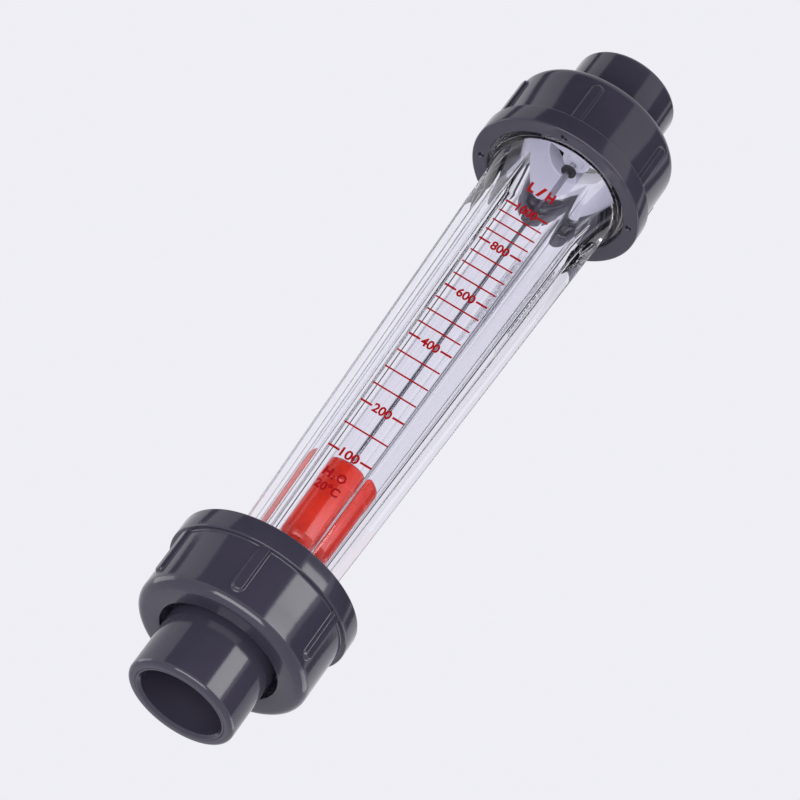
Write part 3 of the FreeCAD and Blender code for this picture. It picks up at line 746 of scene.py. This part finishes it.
def nut_outline():
    """The nut's section, with rows close together where ribs and thread shape it."""
    shell = rounded([
        (NUT_HOLE, NUT_FACE, NUT_EDGE),
        (BARREL_RADIUS, NUT_FACE, SHOULDER_ROUND),
        (BARREL_RADIUS, RIB_ROWS_START),
    ], steps=8)
    rows = [(BARREL_RADIUS, RIB_ROWS_START + RIB_ROWS_LENGTH * step / RIB_ROWS)
            for step in range(1, RIB_ROWS + 1)]
    collar = rounded([
        (BARREL_RADIUS, rows[-1][1]),
        (BARREL_RADIUS, COLLAR_START, COLLAR_FILLET),
        (COLLAR_RADIUS, COLLAR_START, COLLAR_FILLET),
        (COLLAR_RADIUS, NUT_MOUTH, COLLAR_EDGE),
        (DIMPLE_PITCH_RADIUS, NUT_MOUTH),
    ], steps=5)[1:-1]
    collar += [(DIMPLE_PITCH_RADIUS + row * MM / DIMPLE_ROWS, NUT_MOUTH)
               for row in range(DIMPLE_ROWS, -DIMPLE_ROWS - 1, -1)]
    collar += rounded([
        (DIMPLE_PITCH_RADIUS, NUT_MOUTH),
        (NUT_BORE + NUT_CHAMFER, NUT_MOUTH, CHAMFER_ROUND),
        (NUT_BORE, NUT_MOUTH - NUT_CHAMFER),
    ], steps=5)[1:]
    depth = NUT_MOUTH - NUT_CHAMFER - NUT_INSIDE
    bore = [(NUT_BORE, NUT_MOUTH - NUT_CHAMFER - depth * step / NUT_THREAD_ROWS)
            for step in range(1, NUT_THREAD_ROWS + 1)]
    return shell + rows + collar + bore + [(NUT_HOLE, NUT_INSIDE)]


def union_nut(end):
    """A union nut with its ribs, dimples and thread.

    It is shaped in the lower end's place. The thread is cut last, so that it is right-handed at both ends.
    """
    upper = end == "upper"
    turn = -NUT_TURNS[end] if upper else NUT_TURNS[end]
    piece = lathe(f"{end}_union_nut", nut_outline(), GREY_PVC, nut_bearings(turn))
    made_real(piece, RIBS, Material=GREY_PVC, Barrel_radius=BARREL_RADIUS, Rib_count=float(RIB_COUNT),
              Turn=turn - TURN / 4, Half_width=RIB_HALF_WIDTH, Draft=RIB_DRAFT, Height=RIB_HEIGHT,
              Foot=RIB_FOOT, Head=RIB_HEAD)
    made_real(piece, DIMPLES, Material=GREY_PVC, Count=float(DIMPLE_COUNT), Turn=turn - TURN / 4,
              Pitch_radius=DIMPLE_PITCH_RADIUS, Dimple_radius=DIMPLE_RADIUS, Depth=DIMPLE_DEPTH,
              Face=NUT_MOUTH)
    start, stop = NUT_INSIDE, NUT_MOUTH
    if upper:
        turned_over(piece)
        start, stop = TOTAL - NUT_MOUTH, TOTAL - NUT_INSIDE
    made_real(piece, THREAD, Material=GREY_PVC, Pitch=THREAD_PITCH, Start=start + NUT_THREAD_MARGIN,
              End=stop - NUT_THREAD_MARGIN, Inner_skin=NUT_BORE - SKIN_REACH,
              Outer_skin=NUT_BORE + SKIN_REACH, **NUT_THREAD)
    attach(piece, f"{end}_union")
    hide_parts(f"{end}_nut")


def connector(end):
    """The socket end that the pipe is cemented into, with its flange."""
    outline = rounded([
        (SOCKET_RADIUS, MOUTH_CHAMFER[1]),
        (SOCKET_RADIUS + MOUTH_CHAMFER[0], 0, MOUTH_EDGE),
        (SOCKET_RADIUS + FACE_LINE[0], 0),
        (SOCKET_RADIUS + FACE_LINE[1], FACE_LINE_DEPTH),
        (SOCKET_RADIUS + FACE_LINE[2], 0),
        (SPIGOT_RADIUS, 0, SPIGOT_EDGE),
        (SPIGOT_RADIUS, FLANGE_BACK),
        (FLANGE_RADIUS, FLANGE_BACK, FLANGE_EDGE),
        (FLANGE_RADIUS, TUBE_LOW, FLANGE_EDGE),
        (GROOVE_OUTER, TUBE_LOW),
        (GROOVE_OUTER, TUBE_LOW - GROOVE_DEPTH),
        (GROOVE_INNER, TUBE_LOW - GROOVE_DEPTH),
        (GROOVE_INNER, TUBE_LOW),
        (THROAT_RADIUS, TUBE_LOW),
        (THROAT_RADIUS, SOCKET_DEPTH),
        (SOCKET_RADIUS - SOCKET_TAPER, SOCKET_DEPTH, SOCKET_END_ROUND),
    ], steps=6)
    piece = lathe(f"{end}_socket", outline, GREY_PVC)
    if end == "upper":
        turned_over(piece)
    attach(piece, f"{end}_end")
    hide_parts(f"{end}_connector")


# Float and rod

ROD_GAP = 0.25 * MM
ROD_EDGE = 0.2 * MM
FLOAT_BORE_EDGE = 0.25 * MM
SEAM_EDGE = 0.12 * MM
HEAD_HEIGHT = 5.2 * MM
HEAD_CONE = 0.6 * MM
HEAD_EDGE = 0.3 * MM
HEAD_ROUND = 1.3 * MM
FLOAT_WALL = 1.3 * MM
NOSE_RADIUS = 3.8 * MM
NOSE_ROUND = 5 * MM


def float_body():
    """The red float's shell and plug, turned from their outlines."""
    bore = ROD_RADIUS + ROD_GAP
    head_start = FLOAT_TOP - HEAD_HEIGHT
    shell = lathe("float_red_shell", rounded([
        (bore, FLOAT_TOP, FLOAT_BORE_EDGE),
        (bore, FLOAT_SHOULDER),
        (FLOAT_RADIUS - FLOAT_WALL, FLOAT_SHOULDER),
        (FLOAT_RADIUS, FLOAT_SHOULDER, SEAM_EDGE),
        (FLOAT_RADIUS, head_start - HEAD_CONE, HEAD_EDGE),
        (HEAD_RADIUS, head_start, HEAD_EDGE),
        (HEAD_RADIUS, FLOAT_TOP, HEAD_ROUND),
    ], steps=6), RED_PLASTIC)
    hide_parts("float_shell")
    plug = lathe("float_red_plug", [
        (bore, FLOAT_SHOULDER),
        (bore, FLOAT_LOW),
        (NOSE_RADIUS, FLOAT_LOW),
        *arc((NOSE_RADIUS, FLOAT_LOW), (FLOAT_RADIUS, FLOAT_SHOULDER), NOSE_ROUND, side=1, steps=10),
    ], RED_PLASTIC)
    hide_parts("float_plug")
    for piece in (shell, plug):
        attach(piece, "float")


def guide_rod():
    """The steel rod with rounded ends."""
    rod = lathe("steel_rod", rounded([
        (0, ROD_LOW), (ROD_RADIUS, ROD_LOW, ROD_EDGE), (ROD_RADIUS, ROD_HIGH, ROD_EDGE), (0, ROD_HIGH),
    ]), DRAWN_STEEL, segments=48)
    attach(rod, "metering_tube")
    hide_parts("guide_rod")


# Scale print

PRINT_LIFT = 0.02 * MM
PRINT_THICK = 0.03 * MM
SCALE_HALF = 5.55 * MM
MAJOR_LINE = 0.55 * MM
MINOR_LINE = 0.42 * MM
NUMBER_HALF = 2.25 * MM
NUMBER_HEIGHT = 2.5 * MM
TICK_INSIDE = 2.65 * MM
NUMBERED = (100, 200, 400, 600, 800, 1000)
WIDE_NUMBER = 1.16
PLAIN_WEIGHT = 0.03
BOLD_WEIGHT = 0.05
RAW_EXTRUDE = 0.1

# The scale's lines: station in mm by flow
SCALE_STATIONS = {
    1000: 144.9, 950: 141.8, 900: 138.7, 850: 135.6, 800: 132.5, 750: 128.6, 700: 124.8, 650: 120.9,
    600: 117.1, 550: 113.1, 500: 109.2, 450: 105.2, 400: 101.2, 350: 96.0, 300: 90.8, 250: 85.6,
    200: 80.3, 150: 73.4, 100: 66.55,
}

# Unit marks: words, then station, place across, width and height in mm, and weight
UNIT_MARKS = (
    ("L", 151.4, -2.3, 1.7, 2.7, BOLD_WEIGHT),
    ("/", 151.4, 0.1, 1.9, 2.7, BOLD_WEIGHT),
    ("H", 151.4, 2.6, 1.9, 2.7, BOLD_WEIGHT),
    ("H", 60.6, -1.9, 1.9, 2.4, BOLD_WEIGHT),
    ("2", 59.9, -0.3, 0.9, 1.3, PLAIN_WEIGHT),
    ("O", 60.6, 1.5, 2.1, 2.4, PLAIN_WEIGHT),
    ("20°C", 57.0, 0.0, 6.0, 2.4, PLAIN_WEIGHT),
)


def front_surface(across, station):
    """How far the tube's front skin lies toward -Y, at a place beside the axis."""
    facet = facet_distance(station)
    if station < UPPER_THREAD_END - HIGH_FLARE:
        return facet
    return max(facet, math.sqrt(max(high_flare(station) ** 2 - across**2, 0)))


def draped(mesh, middle_station, middle_across=0.0):
    """Wraps flat print, drawn in X and Y about its middle, onto the tube's front."""
    for vertex in mesh.vertices:
        across = vertex.co.x + middle_across
        station = vertex.co.y + middle_station
        out = front_surface(across, station) + PRINT_LIFT + vertex.co.z
        vertex.co = (across, -out, station)


def lettering(words, width, height, weight=PLAIN_WEIGHT):
    """Plain words in a flat mesh about the origin, as wide and high as asked, as thick as print."""
    text = bpy.data.curves.new("words", "FONT")
    text.body = words
    text.offset = weight
    text.extrude = RAW_EXTRUDE
    holder = bpy.data.objects.new("words", text)
    bpy.context.collection.objects.link(holder)
    bpy.context.view_layer.update()
    mesh = bpy.data.meshes.new_from_object(holder.evaluated_get(bpy.context.evaluated_depsgraph_get()))
    bpy.data.objects.remove(holder)
    for axis, size in enumerate((width, height, PRINT_THICK)):
        places = [vertex.co[axis] for vertex in mesh.vertices]
        low, high = min(places), max(places)
        for vertex in mesh.vertices:
            vertex.co[axis] = ((vertex.co[axis] - low) / (high - low) - 0.5) * size
    for vertex in mesh.vertices:
        vertex.co.z += PRINT_THICK / 2
    return mesh


def joined(name, meshes, material):
    """One piece from several meshes."""
    made = bmesh.new()
    for mesh in meshes:
        made.from_mesh(mesh)
    bmesh.ops.remove_doubles(made, verts=made.verts, dist=PRINT_WELD)
    return linked(name, mesh_from(name, made), material)


def bars(name, places, material):
    """Flat bars at places (point, size across, size up, turn), made by the bar tree."""
    mesh = bpy.data.meshes.new(name)
    mesh.from_pydata([place[0] for place in places], [], [])
    for label, column in (("bar_across", 1), ("bar_up", 2)):
        attribute = mesh.attributes.new(label, "FLOAT", "POINT")
        attribute.data.foreach_set("value", [place[column] for place in places])
    attribute = mesh.attributes.new("bar_tilt", "FLOAT_VECTOR", "POINT")
    attribute.data.foreach_set("vector", [number for place in places for number in place[3]])
    piece = bpy.data.objects.new(name, mesh)
    bpy.context.collection.objects.link(piece)
    made_real(piece, BARS, Material=material, Thickness=PRINT_THICK)
    for label in ("bar_across", "bar_up", "bar_tilt"):
        if label in piece.data.attributes:
            piece.data.attributes.remove(piece.data.attributes[label])
    return piece


def scale_print():
    """The red scale: lines by the bar tree, numbers and unit marks from the built-in font."""
    places = []
    for flow, station in SCALE_STATIONS.items():
        z = station * MM
        out = -(front_surface(0, z) + PRINT_LIFT + PRINT_THICK / 2)
        if flow in NUMBERED:
            length = SCALE_HALF - TICK_INSIDE
            middle = (SCALE_HALF + TICK_INSIDE) / 2
            places += [((side * middle, out, z), length, MAJOR_LINE, (FACET_LEAN, 0, 0)) for side in (-1, 1)]
        else:
            places.append(((0, out, z), 2 * SCALE_HALF, MINOR_LINE, (FACET_LEAN, 0, 0)))
    lines = bars("scale_lines", places, SCALE_INK)
    meshes = []
    for flow in NUMBERED:
        width = 2 * NUMBER_HALF * (WIDE_NUMBER if flow == 1000 else 1.0)
        mesh = lettering(str(flow), width, NUMBER_HEIGHT)
        draped(mesh, SCALE_STATIONS[flow] * MM)
        meshes.append(mesh)
    for words, station, across, width, height, weight in UNIT_MARKS:
        mesh = lettering(words, width * MM, height * MM, weight)
        draped(mesh, station * MM, across * MM)
        meshes.append(mesh)
    numbers = joined("scale_numbers", meshes, SCALE_INK)
    for piece in (lines, numbers):
        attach(piece, "metering_tube")


# Label print

LABEL_BEARING = math.radians(120)
LABEL_LIFT = 0.14 * MM
LABEL_EDGE = 1 * MM
LABEL_FOOT_MARGIN = 4.5 * MM
BORDER_WIDTH = 0.12 * MM
BORDER_EXTRA = 1.8 * MM

# Print in mm: the bars' shortest and longest, the gaps between them, and the border lines' places across
BAR_LENGTHS = (0.5, 2.4)
BAR_GAPS = (0.25, 0.6)
BORDER_PLACES = (-4.9, 4.9)

# Rows of print: place across and height in mm
LABEL_ROWS = ((-3.8, 0.95), (-2.3, 0.5), (-1.1, 0.5), (0.1, 0.5), (1.3, 0.5), (2.5, 0.5), (3.9, 0.7))


def label_bar(across, station, width, length):
    """An upright bar on the label, its middle at a station and beside the label's middle line."""
    out = Vector((math.sin(LABEL_BEARING), -math.cos(LABEL_BEARING), 0))
    along = Vector((math.cos(LABEL_BEARING), math.sin(LABEL_BEARING), 0))
    point = out * (facet_distance(station) + LABEL_LIFT) + along * across * MM + Vector((0, 0, station))
    return tuple(point), width, length, (FACET_LEAN, 0, LABEL_BEARING)


def label_print():
    """Rows of plain bars in place of the label's fine print, between two border lines."""
    low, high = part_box("back_label")[0][2] + LABEL_EDGE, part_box("back_label")[1][2] - LABEL_EDGE
    chance = random.Random(7)
    places = []
    for across, height in LABEL_ROWS:
        station = low + LABEL_FOOT_MARGIN
        while True:
            length = chance.uniform(*BAR_LENGTHS) * MM
            if station + length > high:
                break
            places.append(label_bar(across, station + length / 2, height * MM, length))
            station += length + chance.uniform(*BAR_GAPS) * MM
    for across in BORDER_PLACES:
        places.append(label_bar(across, (low + high) / 2, BORDER_WIDTH, high - low + BORDER_EXTRA))
    piece = bars("label_bars", places, LABEL_INK)
    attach(piece, "metering_tube")


def finish_nodes():
    """Gives the CAD pieces that stay their materials."""
    finishes = {
        "lower_holder": LIGHT_PLASTIC, "upper_holder": LIGHT_PLASTIC,
        "lower_o_ring": BLACK_RUBBER, "upper_o_ring": BLACK_RUBBER,
        "lower_stop": BLACK_RUBBER, "upper_stop": BLACK_RUBBER,
        "lower_clip": BLACK_STEEL, "upper_clip": BLACK_STEEL,
        "float_weight": DRAWN_STEEL, "back_label": LABEL_FILM,
    }
    for node, material in finishes.items():
        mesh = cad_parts[node].data
        mesh.materials.clear()
        mesh.materials.append(material)


# Stage and lights

FLOOR_STATION = -0.62
FLOOR_REACH = 30.0
PANEL_STEP_DEGREES = 4

# Studio surfaces: name, colour and own light
SHADES = {
    "dark": ("dark panel", (0.09, 0.085, 0.11), 0.0),
    "bright": ("softbox", (1.0, 0.99, 1.0), 4.3),
    "low": ("low softbox", (1.0, 0.99, 1.0), 1.3),
    "faint": ("softbox edge", (0.42, 0.42, 0.45), 0.0),
}

# Panels: name, shade, first and last bearing in degrees, then low, high and distance in metres
PANELS = (
    ("dark_panel_left", "dark", -72, 18, 0.16, 0.85, 0.62),
    ("dark_panel_right", "dark", 62, 100, 0.16, 0.85, 0.62),
    ("dark_edge_left", "dark", -119, -107, 0.30, 0.85, 0.62),
    ("dark_edge_right", "dark", 107, 119, 0.30, 0.85, 0.62),
    ("softbox_right", "bright", 20, 54, 0.10, 0.262, 0.45),
    ("softbox_low_left", "low", -128, -96, -0.10, 0.14, 0.5),
    ("softbox_low_right", "low", 96, 128, -0.10, 0.14, 0.5),
    ("softbox_edge", "faint", 20, 54, 0.262, 0.36, 0.45),
)


def studio_shade(name, colour, light=0.0):
    """A plain studio surface: paper, or a panel that gives its own light."""
    material, _, _, shader = new_material(name, Roughness=0.9)
    shader.inputs["Base Color"].default_value = (*colour, 1)
    shader.inputs["Emission Color"].default_value = (*colour, 1)
    shader.inputs["Emission Strength"].default_value = light
    return material


def wall_panel(name, first, last, low, high, distance, material):
    """An upright curved studio panel round the object, between two bearings from the camera's side."""
    made = bmesh.new()
    rows = []
    steps = max(2, int(abs(last - first) / PANEL_STEP_DEGREES))
    for step in range(steps + 1):
        bearing = math.radians(first + (last - first) * step / steps) + FACET_TURN
        x, y = math.sin(bearing) * distance, -math.cos(bearing) * distance
        rows.append([made.verts.new((x, y, station)) for station in (low, high)])
    for before, after in zip(rows, rows[1:]):
        made.faces.new((before[0], after[0], after[1], before[1]))
    panel = linked(name, mesh_from(name, made), material)
    panel.visible_camera = False


def soft_light(name, bearing, elevation, distance, across, tall, watts):
    """A rectangular lamp that looks at the object's middle, placed by the camera's bearing in degrees."""
    lamp = bpy.data.objects.new(name, bpy.data.lights.new(name, "AREA"))
    lamp.data.shape = "RECTANGLE"
    lamp.data.size, lamp.data.size_y = across, tall
    lamp.data.energy = watts
    turn, rise = math.radians(bearing) + FACET_TURN, math.radians(elevation)
    way = Vector((math.sin(turn) * math.cos(rise), -math.cos(turn) * math.cos(rise), math.sin(rise)))
    lamp.location = way * distance + Vector((0, 0, TOTAL / 2))
    lamp.rotation_euler = way.to_track_quat("Z", "Y").to_euler()
    lamp.visible_camera = False
    bpy.context.collection.objects.link(lamp)


def make_stage():
    """A pale floor and room, dark panels on the camera's side and soft lights."""
    mesh = bpy.data.meshes.new("floor")
    corners = ((-1, -1), (1, -1), (1, 1), (-1, 1))
    mesh.from_pydata([(x * FLOOR_REACH, y * FLOOR_REACH, FLOOR_STATION) for x, y in corners], [],
                     [(0, 1, 2, 3)])
    floor = linked("floor", mesh, studio_shade("pale paper", (0.80, 0.80, 0.83)))
    shades = {key: studio_shade(*shade) for key, shade in SHADES.items()}
    for name, shade, *place in PANELS:
        wall_panel(name, *place, shades[shade])
    soft_light("front_light", bearing=-12, elevation=-38, distance=0.75, across=0.8, tall=0.35, watts=4.5)
    world = bpy.data.worlds.new("pale room")
    world.use_nodes = True
    world.node_tree.nodes["Background"].inputs["Color"].default_value = (0.86, 0.86, 0.91, 1)
    world.node_tree.nodes["Background"].inputs["Strength"].default_value = 1.0
    bpy.context.scene.world = world


make_camera()
clear_tube()
for end in ("lower", "upper"):
    union_nut(end)
    connector(end)
float_body()
guide_rod()
scale_print()
label_print()
finish_nodes()
make_stage()
bpy.context.scene.view_settings.view_transform = "Standard"

# Light crosses many clear walls, so its paths are long
bpy.context.scene.cycles.max_bounces = 40
bpy.context.scene.cycles.transmission_bounces = 40
bpy.context.scene.cycles.glossy_bounces = 24
